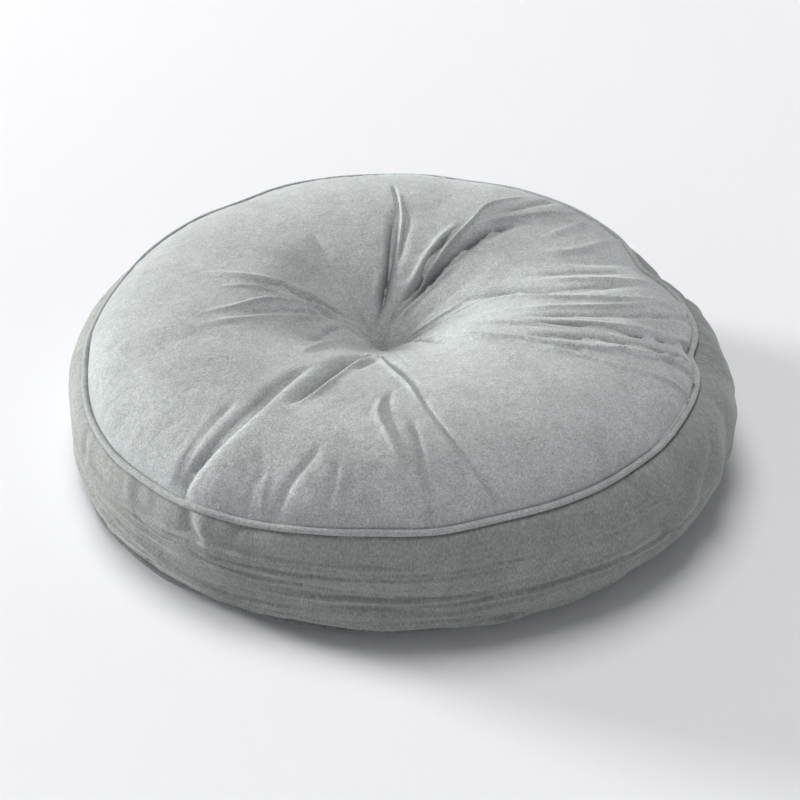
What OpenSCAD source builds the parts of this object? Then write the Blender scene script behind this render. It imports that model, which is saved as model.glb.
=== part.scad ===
// Round floor cushion: a boxed velvet cover with piped seams and a hidden zip in the back of the band,
// over a lined, filled insert that one stitch tufts through the middle.
// Millimetres, +Z up. The origin is the middle of the footprint, on the floor.
// Every profile is drawn as [radius, height] and turned about the Z axis.

/* [Cover] */
// Diameter of the two piped seams, centre to centre of the piping
seam_d = 574; // [520:2:620]
// Height from the lower seam to the upper seam
band_h = 100; // [92:1:110]
// How far the filled band stands out past the seams
band_bulge = 23; // [20:0.5:26]
// Height of the lower seam above the floor
lower_seam_z = 9; // [8:0.5:11]
// Thickness of the velvet with its backing
velvet_t = 2; // [1.6:0.1:2.2]

/* [Top and bottom] */
// Height of the crown of the top panel above the upper seam, before the tuft pulls it down
crown_h = 55.5; // [46:0.5:64]
// Depth that the tuft pulls the middle of the top down
top_dimple_h = 78; // [66:1:84]
// Radius over which the top dimple fades
top_dimple_r = 80; // [65:1:90]
// Depth of the dimple in the underside
base_dimple_h = 28; // [18:1:34]
// Radius of the dimple in the underside
base_dimple_r = 100; // [80:2:130]

/* [Seams] */
// Diameter of the piping
piping_d = 6; // [5.6:0.2:6.2]
// Diameter of the cord inside the piping
piping_cord_d = 3.8; // [3:0.1:3.9]
// Width of the seam allowances inside the cover
seam_allowance = 14; // [10:0.5:15]

/* [Zip] */
// Direction in which the zip band starts, from +X towards +Y
zip_start = 20; // [10:1:40]
// Angle that the zip band covers
zip_span = 140; // [120:1:150]
// Half the width of the channel between the two folded edges
channel_half = 6; // [5.6:0.1:7]
// Length of the slider
slider_len = 14; // [12:0.5:16]
// Length of the pull, from its pivot to its tip
pull_len = 24; // [20:1:28]

/* [Tuft and label] */
// Distance between the two strands of the tuft
strand_gap = 4.4; // [4:0.2:5]
// Diameter of the tufting thread
thread_d = 1.2; // [0.8:0.1:1.4]
// Width of the care label
label_w = 22; // [16:1:30]

/* [Hidden] */
$fn = 96;
velvet_colour = [0.58, 0.62, 0.60];
lining_colour = [0.90, 0.89, 0.86];
thread_colour = [0.74, 0.77, 0.75];
zip_colour = [0.50, 0.54, 0.52];
metal_colour = [0.72, 0.72, 0.70];

seam_r = seam_d / 2;
upper_seam_z = lower_seam_z + band_h;
mid_z = (lower_seam_z + upper_seam_z) / 2;
widest_r = seam_r + band_bulge;
piping_r = piping_d / 2;
sleeve_r = piping_cord_d / 2 + 0.1;
lining_t = 0.8;
layer_gap = 0.4;
stitch_flat_r = 5;
rim_r = seam_r - 3;
rim_flat_r = seam_r - 25;
channel_r = 3.4;
needle_hole_r = thread_d / 2 + 0.2;

// The band is an arc of a circle in section, from just outside one seam to just outside the other
arc_half_h = band_h / 2 - 4;
arc_sag = band_bulge - 5;
arc_r = (arc_half_h * arc_half_h + arc_sag * arc_sag) / (2 * arc_sag);
arc_centre_r = widest_r - arc_r;
seam_angle = asin((arc_half_h - 1) / arc_r);

// Layers of each seam allowance, as heights above the seam's own middle line
allowance_angle = 36;
panel_layer = [0.7, 2.2];
piping_layer = [-0.6, 0.6];
band_layer = [-2.2, -0.7];

// The zip, as depths in from the band's widest circle
hem_t = 2 * velvet_t;
hem_w = 12;
tape_depth = [hem_t + 0.25, hem_t + 0.8];
tape_half_w = 14;
coil_depth = [2.2, hem_t + 0.2];
coil_reach = [0.5, 3];
plate_half_w = 4.8;
slider_rest = zip_start + 7;
join_gap = 0.05;
degrees_per_mm = 180 / (PI * widest_r);

// A point on the upper seam's own axes: along the allowance, inwards, and above its middle line
function seam_point(along, above) = [
    seam_r - along * cos(allowance_angle) - above * sin(allowance_angle),
    upper_seam_z - along * sin(allowance_angle) + above * cos(allowance_angle)];

// A point of the band at an angle of its arc and a depth under its outer face
function band_point(angle, depth) = [
    arc_centre_r + (arc_r - depth) * cos(angle),
    mid_z + (arc_r - depth) * sin(angle)];
function band_arc(from, to, depth, steps = 14) =
    [for (i = [0:steps]) band_point(from + (to - from) * i / steps, depth)];
function arc_angle(height, depth) = asin(height / (arc_r - depth));

function reversed(points) = [for (i = [len(points) - 1:-1:0]) points[i]];
function flipped(points) = [for (p = reversed(points)) [p[0], 2 * mid_z - p[1]]];

// A path moved sideways by a distance, to its left when it is walked from first to last
function heading(points, i) =
    points[min(i + 1, len(points) - 1)] - points[max(i - 1, 0)];
function moved(points, distance) = [for (i = [0:len(points) - 1])
    let (t = heading(points, i)) points[i] + distance * [-t[1], t[0]] / norm(t)];

// Closer together at both ends of a stretch, where the profile bends most
function spaced(from, to, steps) =
    [for (i = [0:steps]) from + (to - from) * (1 - cos(180 * i / steps)) / 2];

// The outer face of the top panel, from the middle to its rim beside the piping
function top_z(r) = upper_seam_z + 1.5
    + crown_h * pow(1 - pow(r / rim_r, 4), 0.5)
    - top_dimple_h * exp(-pow(r / top_dimple_r, 1.3));
top_face = concat([[0, top_z(stitch_flat_r)]],
    [for (r = spaced(stitch_flat_r, rim_r - 1, 22)) [r, top_z(r)]]);
top_middle_z = top_z(stitch_flat_r);

// The outer face of the bottom panel: a dimple, a flat ring that rests on the floor, a rolled rim
function base_z(r) = r < base_dimple_r ? base_dimple_h * pow(1 - r / base_dimple_r, 2.2) : 0;
rim_roll = [seam_r - 3.4 - rim_flat_r, lower_seam_z - 1.6];
base_face = concat([[0, base_z(stitch_flat_r)]],
    [for (r = spaced(stitch_flat_r, base_dimple_r, 9)) [r, base_z(r)]],
    [for (a = [90:-11.25:0]) [rim_flat_r + rim_roll[0] * cos(a), rim_roll[1] * (1 - sin(a))]]);
base_middle_z = base_z(stitch_flat_r);

// The outside of the filled insert, from the middle of its top round to the middle of its base
waist_depth = 7;
waist_half_h = 20.5;
side_depth = velvet_t + 0.7;
panel_gap = velvet_t + layer_gap;
insert_top = concat(
    moved([for (p = top_face) if (p[0] < seam_r - 17) p], -panel_gap),
    [[seam_r - 13.6, upper_seam_z + 5], seam_point(seam_allowance, 4.2)]);
insert_corner = seam_point(seam_allowance + 2, 0);
insert_shoulder = concat(
    [seam_point(seam_allowance, -4.2), [seam_r + 2, upper_seam_z - 9.6]],
    band_arc(36, arc_angle(waist_half_h + 4, side_depth), side_depth, 3));
waist_angle = arc_angle(waist_half_h, waist_depth);
insert_side = concat(insert_shoulder, band_arc(waist_angle, -waist_angle, waist_depth, 8),
    flipped(insert_shoulder));
insert_base = concat(
    flipped([seam_point(seam_allowance, 4.2)]),
    [[seam_r - 13.2, lower_seam_z - 3]],
    reversed(moved([for (p = base_face) if (p[0] < seam_r - 13.6) p], panel_gap)));
insert_path = concat(insert_top, [insert_corner], insert_side, flipped([insert_corner]), insert_base);
upper_corner_i = len(insert_top);
lower_corner_i = upper_corner_i + len(insert_side) + 1;
last_i = len(insert_path) - 1;

function part_of(points, from, to) = [for (i = [from:to]) points[i]];

module turned(from = 0, span = 360) {
    rotate_extrude(angle = span, start = from) children();
}

// A band of cloth between two faces
module layer(face, inner_face) {
    polygon(concat(face, reversed(inner_face)));
}

module needle_holes() {
    for (side = [-1, 1])
        translate([side * strand_gap / 2, 0, -50])
            cylinder(r = needle_hole_r, h = 300, $fn = 32);
}

module allowance_layer(range, from) {
    polygon([seam_point(from, range[0]), seam_point(from, range[1]),
        seam_point(seam_allowance, range[1]), seam_point(seam_allowance, range[0])]);
}

// Where the band's cloth turns in under the upper piping, walked outwards, and back on its inner face
band_turn_out = [seam_point(seam_allowance, band_layer[1]), seam_point(3.3, band_layer[1]),
    [seam_r - 0.8, upper_seam_z - 4], [seam_r + 3, upper_seam_z - 3.9]];
band_turn_in = [[seam_r + 1, upper_seam_z - 6.4], seam_point(5.5, band_layer[0]),
    seam_point(seam_allowance, band_layer[0])];

module top_panel() {
    rim_out = [[seam_r - 3.6, upper_seam_z + 1.5], seam_point(3.3, panel_layer[0]),
        seam_point(seam_allowance, panel_layer[0])];
    rim_in = [[seam_r - 5.8, upper_seam_z + 1], seam_point(5.2, panel_layer[1]),
        seam_point(seam_allowance, panel_layer[1])];
    color(velvet_colour)
        difference() {
            turned() layer(concat(top_face, rim_out), concat(moved(top_face, -velvet_t), rim_in));
            needle_holes();
        }
}

module bottom_panel() {
    rim_out = flipped([seam_point(seam_allowance, panel_layer[0]), seam_point(3.3, panel_layer[0])]);
    rim_in = flipped([seam_point(seam_allowance, panel_layer[1]), seam_point(5.2, panel_layer[1])]);
    color(velvet_colour)
        difference() {
            turned() layer(concat(base_face, rim_out), concat(moved(base_face, velvet_t), rim_in));
            needle_holes();
        }
}

module side_band() {
    face = concat(band_turn_out, band_arc(seam_angle, -seam_angle, 0), flipped(band_turn_out));
    inner_face = concat(reversed(band_turn_in), band_arc(seam_angle, -seam_angle, velvet_t),
        flipped(reversed(band_turn_in)));
    color(velvet_colour)
        turned(zip_start + zip_span + join_gap, 360 - zip_span - 2 * join_gap)
            layer(face, inner_face);
}

// Half of the zip band: from the upper seam down to a folded edge, hemmed to twice its thickness
module zip_strip_profile() {
    edge_angle = arc_angle(channel_half, 0);
    inner_edge_angle = arc_angle(channel_half, hem_t);
    hem_angle = arc_angle(channel_half + hem_w, hem_t);
    fold = [band_point(edge_angle, 0.5), band_point(inner_edge_angle, hem_t - 0.5)];
    face = concat(band_turn_out, band_arc(seam_angle, edge_angle + 0.4, 0, 8), fold);
    hem = band_arc(hem_angle, inner_edge_angle + 0.4, hem_t, 3);
    inner_face = concat(reversed(band_turn_in), band_arc(seam_angle, hem_angle + 0.2, velvet_t, 6), hem);
    layer(face, inner_face);
}

module over_the_zip() {
    turned(zip_start, zip_span) children();
}

module under_the_zip() {
    translate([0, 0, 2 * mid_z]) mirror([0, 0, 1]) over_the_zip() children();
}

module zip_strip_upper() {
    color(velvet_colour) over_the_zip() zip_strip_profile();
}

module zip_strip_lower() {
    color(velvet_colour) under_the_zip() zip_strip_profile();
}

// Piping: a cord in a folded strip of velvet, whose two edges are sewn into the seam
module piping_cover_profile() {
    difference() {
        union() {
            translate([seam_r, upper_seam_z]) circle(r = piping_r, $fn = 48);
            allowance_layer(piping_layer, piping_r - 0.4);
        }
        translate([seam_r, upper_seam_z]) circle(r = sleeve_r, $fn = 48);
    }
}

module piping_cord_profile() {
    translate([seam_r, upper_seam_z]) circle(d = piping_cord_d, $fn = 32);
}

module at_lower_seam() {
    translate([0, 0, 2 * mid_z]) mirror([0, 0, 1]) children();
}

module top_piping_cover() {
    color(velvet_colour) turned() piping_cover_profile();
}

module top_piping_cord() {
    color(lining_colour) turned() piping_cord_profile();
}

module bottom_piping_cover() {
    color(velvet_colour) at_lower_seam() turned() piping_cover_profile();
}

module bottom_piping_cord() {
    color(lining_colour) at_lower_seam() turned() piping_cord_profile();
}

// Parts of the zip are drawn above its middle line, as [depth, height] rectangles turned about Z
module zip_box(depths, heights) {
    translate([widest_r - depths[1], mid_z + heights[0]])
        square([depths[1] - depths[0], heights[1] - heights[0]]);
}

module zip_segment(length, middle) {
    angle = length * degrees_per_mm;
    turned(middle - angle / 2, angle) children();
}

module tape_profile() {
    inner_edge = arc_angle(coil_reach[0], tape_depth[0]);
    outer_edge = arc_angle(tape_half_w, tape_depth[0]);
    layer(band_arc(outer_edge, inner_edge, tape_depth[0], 4),
        band_arc(outer_edge, inner_edge, tape_depth[1], 4));
}

module on_lower_side() {
    translate([0, 0, 2 * mid_z]) mirror([0, 0, 1]) children();
}

tape_start = zip_start + 0.6;
tape_span = zip_span - 1.2;
coil_start = zip_start + 4;
coil_span = zip_span - 7;

module zip_tape_upper() {
    color(zip_colour) turned(tape_start, tape_span) tape_profile();
}

module zip_tape_lower() {
    color(zip_colour) on_lower_side() turned(tape_start, tape_span) tape_profile();
}

module zip_coil_upper() {
    color(zip_colour) turned(coil_start, coil_span) zip_box(coil_depth, coil_reach);
}

module zip_coil_lower() {
    color(zip_colour) on_lower_side() turned(coil_start, coil_span) zip_box(coil_depth, coil_reach);
}

// A clip that wraps the edge of a tape: a face on each side of it and a bridge round its edge
module stop_clip_profile(reach) {
    zip_box([2.4, tape_depth[0] - 0.1], [0.1, reach]);
    zip_box([tape_depth[1] + 0.2, tape_depth[1] + 0.9], [0.1, reach]);
    zip_box([2.4, tape_depth[1] + 0.9], [0.1, 0.4]);
}

module zip_top_stops() {
    stop_len = 2.4;
    middle = coil_start - stop_len * degrees_per_mm;
    color(metal_colour) {
        zip_segment(stop_len, middle) stop_clip_profile(3);
        on_lower_side() zip_segment(stop_len, middle) stop_clip_profile(3);
    }
}

module zip_bottom_stop() {
    stop_len = 3;
    middle = coil_start + coil_span + stop_len * degrees_per_mm;
    color(metal_colour)
        zip_segment(stop_len, middle) {
            zip_box([2.4, tape_depth[0] - 0.1], [-3.4, 3.4]);
            zip_box([tape_depth[1] + 0.2, tape_depth[1] + 0.9], [-3.4, 3.4]);
            zip_box([2.4, tape_depth[1] + 0.9], [-0.4, 0.4]);
        }
}

// The slider: a plate on each side of the coils, a lip along each edge of the outer one, a wedge
// between the coils at its leading end, and a bridge that holds the pull
plate_t = 0.9;
outer_plate = [coil_depth[0] - 0.3 - plate_t, coil_depth[0] - 0.3];
inner_plate = [tape_depth[1] + 0.6, tape_depth[1] + 0.6 + plate_t];
pivot_depth = outer_plate[0] - 1;
bridge_gap = 1.9;
bridge_half_len = 4.2;
bridge_half_w = 1.1;
bar_r = 0.6;

module zip_slider() {
    wedge_len = 5;
    foot_len = 0.9;
    bridge_top = [outer_plate[0] - bridge_gap - 0.8, outer_plate[0] - bridge_gap];
    bridge_side = [bridge_top[0], outer_plate[0]];
    foot_angle = (bridge_half_len - foot_len / 2) * degrees_per_mm;
    wedge_angle = (slider_len - wedge_len) / 2 * degrees_per_mm;
    color(metal_colour) {
        zip_segment(slider_len, slider_rest) {
            zip_box(outer_plate, [-plate_half_w, plate_half_w]);
            zip_box(inner_plate, [-plate_half_w, plate_half_w]);
            for (edge = [-plate_half_w, plate_half_w - 0.8])
                zip_box([outer_plate[0], outer_plate[1] + 1.8], [edge, edge + 0.8]);
        }
        zip_segment(wedge_len, slider_rest - wedge_angle)
            zip_box([outer_plate[0], inner_plate[1]], [-0.2, 0.2]);
        zip_segment(2 * bridge_half_len, slider_rest)
            zip_box(bridge_top, [-bridge_half_w, bridge_half_w]);
        for (end = [-1, 1])
            zip_segment(foot_len, slider_rest + end * foot_angle)
                zip_box(bridge_side, [-bridge_half_w, bridge_half_w]);
    }
}

// The pull: a cross bar under the bridge, two legs that pass it, and a rounded tab with an eye.
// Drawn at its pivot, X outwards, Y along the zip, Z up.
module zip_pull() {
    leg_in = bridge_half_w + 0.6;
    leg_out = leg_in + bar_r * 2;
    tab_half_w = 3.4;
    tab_start = bridge_half_len + 1.4;
    tab_end = pull_len - tab_half_w;
    color(metal_colour)
        rotate([0, 0, slider_rest])
            translate([widest_r - pivot_depth, 0, mid_z])
                difference() {
                    union() {
                        cylinder(r = bar_r, h = 2 * leg_out, center = true, $fn = 32);
                        for (side = [-1, 1])
                            translate([-bar_r, 0, side * (leg_in + bar_r) - bar_r])
                                cube([2 * bar_r, tab_start + 1, 2 * bar_r]);
                        translate([-bar_r, tab_start, -tab_half_w])
                            cube([2 * bar_r, tab_end - tab_start, 2 * tab_half_w]);
                        translate([-bar_r, tab_end, 0])
                            rotate([0, 90, 0]) cylinder(r = tab_half_w, h = 2 * bar_r, $fn = 48);
                    }
                    difference() {
                        translate([-2 * bar_r, -bar_r, -leg_out - 1])
                            cube([4 * bar_r, bar_r, 2 * leg_out + 2]);
                        cylinder(r = bar_r, h = 3 * leg_out, center = true, $fn = 32);
                    }
                    translate([-2 * bar_r, tab_end, 0])
                        rotate([0, 90, 0]) cylinder(r = 1.5, h = 4 * bar_r, $fn = 32);
                }
}

// The row of thread that shows beside each folded edge of the zip band
module stitch_row() {
    row_r = 0.35;
    row = band_point(arc_angle(channel_half + 4, 0), -row_r);
    color(thread_colour)
        turned(zip_start + 0.4, zip_span - 0.8) translate(row) circle(r = row_r, $fn = 24);
}

module zip_stitch_upper() {
    stitch_row();
}

module zip_stitch_lower() {
    on_lower_side() stitch_row();
}

// The lining case of the insert: a top, a band and a base, sewn edge to edge
case_inner_path = moved(insert_path, -lining_t);

module case_piece(from, to) {
    layer(part_of(insert_path, from, to), part_of(case_inner_path, from, to));
}

module inner_case_top() {
    color(lining_colour)
        difference() {
            turned() case_piece(0, upper_corner_i);
            needle_holes();
        }
}

module inner_case_band() {
    color(lining_colour) turned() case_piece(upper_corner_i, lower_corner_i);
}

module inner_case_bottom() {
    color(lining_colour)
        difference() {
            turned() case_piece(lower_corner_i, last_i);
            needle_holes();
        }
}

module filling() {
    color([0.96, 0.96, 0.95])
        difference() {
            turned() polygon(moved(insert_path, -lining_t - layer_gap));
            translate([0, 0, -50]) cylinder(r = channel_r, h = 300);
        }
}

// The tuft: one short stitch on the top, two strands through the cushion, a knot under it
module tuft_cord() {
    thread_r = thread_d / 2;
    stitch_z = top_middle_z + thread_r;
    color(thread_colour) {
        for (side = [-1, 1])
            translate([side * strand_gap / 2, 0, 0]) {
                translate([0, 0, base_middle_z])
                    cylinder(r = thread_r, h = stitch_z - base_middle_z, $fn = 32);
                translate([0, 0, stitch_z]) sphere(r = thread_r, $fn = 32);
            }
        translate([0, 0, stitch_z])
            rotate([0, 90, 0]) cylinder(r = thread_r, h = strand_gap, center = true, $fn = 32);
    }
}

module tuft_knot() {
    color(thread_colour)
        translate([0, 0, base_middle_z])
            turned() polygon([[0, 0], [2.9, 0], [3.2, -0.6], [3.3, -1.4], [2.9, -2.4], [1.8, -3], [0, -3]]);
}

// A blank satin label that hangs out of the lower seam at the back, under the band's overhang
module care_label() {
    label_t = 0.4;
    label_middle = 75;
    face = [[seam_r - 0.6, lower_seam_z + 3.7], [seam_r + 4, lower_seam_z + 3.6],
        [seam_r + 9, lower_seam_z + 1.2], [seam_r + 14, lower_seam_z - 3], [seam_r + 18, lower_seam_z - 7]];
    color([0.93, 0.93, 0.92])
        zip_segment(label_w, label_middle) layer(face, moved(face, -label_t));
}

top_panel();
bottom_panel();
side_band();
zip_strip_upper();
zip_strip_lower();
top_piping_cover();
top_piping_cord();
bottom_piping_cover();
bottom_piping_cord();
zip_tape_upper();
zip_tape_lower();
zip_coil_upper();
zip_coil_lower();
zip_top_stops();
zip_bottom_stop();
zip_slider();
zip_pull();
zip_stitch_upper();
zip_stitch_lower();
inner_case_top();
inner_case_band();
inner_case_bottom();
filling();
tuft_cord();
tuft_knot();
care_label();
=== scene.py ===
"""A round velvet floor cushion: piped seams, one stitched tuft, a zip in the back of its band.

Metres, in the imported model's frame: +Z up, -Y to the front, the origin on the floor under the tuft.
Azimuths are in degrees from +X towards +Y, so 270 is the front of the cushion.
"""
import math

import bpy
import numpy as np
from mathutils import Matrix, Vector


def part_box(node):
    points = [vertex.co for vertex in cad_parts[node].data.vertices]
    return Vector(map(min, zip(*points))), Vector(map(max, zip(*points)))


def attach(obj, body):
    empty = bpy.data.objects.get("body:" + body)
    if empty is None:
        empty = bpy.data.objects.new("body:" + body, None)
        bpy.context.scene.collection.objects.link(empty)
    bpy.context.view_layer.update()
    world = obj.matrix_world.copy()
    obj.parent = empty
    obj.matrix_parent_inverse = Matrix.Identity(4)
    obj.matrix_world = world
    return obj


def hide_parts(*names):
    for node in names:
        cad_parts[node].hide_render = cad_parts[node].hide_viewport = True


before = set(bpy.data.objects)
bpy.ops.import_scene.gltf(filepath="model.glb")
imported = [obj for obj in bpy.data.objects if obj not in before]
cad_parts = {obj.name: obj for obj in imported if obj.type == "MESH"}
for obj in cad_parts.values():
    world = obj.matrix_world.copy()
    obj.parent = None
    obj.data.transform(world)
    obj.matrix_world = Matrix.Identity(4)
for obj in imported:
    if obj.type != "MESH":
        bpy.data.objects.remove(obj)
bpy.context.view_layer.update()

MM = 0.001

# ---------------------------------------------------------------- sizes, from the frame
cord_low, cord_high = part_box("top_piping_cord")
CORD_R = (cord_high.z - cord_low.z) / 2
SEAM_R = cord_high.x - CORD_R
PIPING_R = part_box("top_piping_cover")[1].x - (cord_high.x + cord_low.x) / 2 - SEAM_R
UPPER_Z = (cord_low.z + cord_high.z) / 2
LOWER_Z = (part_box("bottom_piping_cord")[0].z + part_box("bottom_piping_cord")[1].z) / 2
MIDDLE_Z = (UPPER_Z + LOWER_Z) / 2
WIDEST_R = -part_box("side_band")[0].x
STITCH_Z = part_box("tuft_cord")[1].z
KNOT_TOP_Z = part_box("tuft_knot")[1].z
TUFT_X = -7 * MM
ZIP_START, ZIP_END = 20.0, 160.0
CHANNEL_HALF = 6 * MM
TUCK = 0.75 * PIPING_R  # how far the band's edges reach in beside the middle of each piping


# ---------------------------------------------------------------- small mathematics
def smooth(low, high, value):
    t = np.clip((value - low) / (high - low), 0.0, 1.0)
    return t * t * (3 - 2 * t)


def turned(start, azimuth):
    """The signed turn from start to azimuth, from -180 to 180 degrees."""
    return (azimuth - start + 180) % 360 - 180


def around_point(r, azimuth, z):
    """Points at a distance from the cushion's upright axis, at an azimuth and at a height."""
    a = np.radians(azimuth)
    return np.stack([r * np.cos(a), r * np.sin(a), z + 0 * a], axis=-1)


def outward(azimuth):
    """The level unit vector that points away from the axis."""
    return around_point(1.0, azimuth, 0.0)


def waves(azimuth, table):
    """A sum of waves round the cushion. Each row says how many, how high, and where the first crest is."""
    return sum(height * np.cos(np.radians(count * (azimuth - crest))) for count, height, crest in table)


def value_noise(u, v, seed, u_cells, v_cells):
    """Smooth noise from -1 to 1. u and v run from 0 to 1, and u closes on itself."""
    lattice = np.random.default_rng(seed).uniform(-1, 1, (u_cells + 3, v_cells + 3))
    lattice[u_cells:] = lattice[:3]
    x, y = (u % 1.0) * u_cells, np.clip(v, 0, 1) * v_cells
    i, j = np.floor(x).astype(int), np.floor(y).astype(int)
    a, b = smooth(0, 1, x - i), smooth(0, 1, y - j)
    low = lattice[i, j] * (1 - a) + lattice[i + 1, j] * a
    high = lattice[i, j + 1] * (1 - a) + lattice[i + 1, j + 1] * a
    return low * (1 - b) + high * b


def normals_of(points, wraps=True):
    """Unit normals of a grid of points: rows across, columns round."""
    across = np.gradient(points, axis=0)
    if wraps:
        around = (np.roll(points, -1, axis=1) - np.roll(points, 1, axis=1)) / 2
    else:
        around = np.gradient(points, axis=1)
    n = np.cross(across, around)
    return n / np.maximum(np.linalg.norm(n, axis=2, keepdims=True), 1e-12)


# ---------------------------------------------------------------- the two seams
SEAM_WIDTH_WAVES = [(2, 6 * MM, 90), (4, 1.5 * MM, 45), (11, 0.5 * MM, 10), (17, 0.35 * MM, 3)]
UPPER_HEIGHT_WAVES = [
    (1, 12 * MM, 49), (2, 8 * MM, 103), (9, 0.7 * MM, 20), (14, 0.5 * MM, 7), (23, 0.3 * MM, 4),
]
LOWER_WIDTH_WAVES = [(13, 0.8 * MM, 5), (19, 0.6 * MM, 2)]
LOWER_HEIGHT_WAVES = [(7, 0.5 * MM, 30), (12, 0.4 * MM, 12)]
UPPER_DROP = 2 * MM
LOWER_INSET, FRONT_LEFT_OUTSET = 1.5 * MM, 8 * MM

# where a crease pulls the upper seam: azimuth, half width in degrees, how far in and how far down in mm
SEAM_PULLS = [(355, 4.5, 6.5, 1.0), (27, 9, 13.5, 0.0), (55, 12, -4.0, 0.0), (247, 7, 1.5, 1.0)]


def bumps(azimuth, table, column):
    """A sum of bells round the cushion, from one column of a table of azimuths and half widths."""
    return MM * sum(row[column] * np.exp(-((turned(row[0], azimuth) / row[1]) ** 2)) for row in table)


def upper_seam(azimuth):
    """The middle of the upper piping at each azimuth."""
    r = SEAM_R + waves(azimuth, SEAM_WIDTH_WAVES) - bumps(azimuth, SEAM_PULLS, 2)
    z = UPPER_Z - UPPER_DROP + waves(azimuth, UPPER_HEIGHT_WAVES) - bumps(azimuth, SEAM_PULLS, 3)
    return around_point(r, azimuth, z)


def lower_seam(azimuth):
    """The middle of the lower piping at each azimuth. At the front left it stands out under the band."""
    front_left = smooth(75, 35, np.abs(turned(255, azimuth)))
    r = SEAM_R - LOWER_INSET + FRONT_LEFT_OUTSET * front_left
    r = r + waves(azimuth, SEAM_WIDTH_WAVES[:2]) * 0.4 + waves(azimuth, LOWER_WIDTH_WAVES)
    return around_point(r, azimuth, LOWER_Z + waves(azimuth, LOWER_HEIGHT_WAVES))


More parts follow.
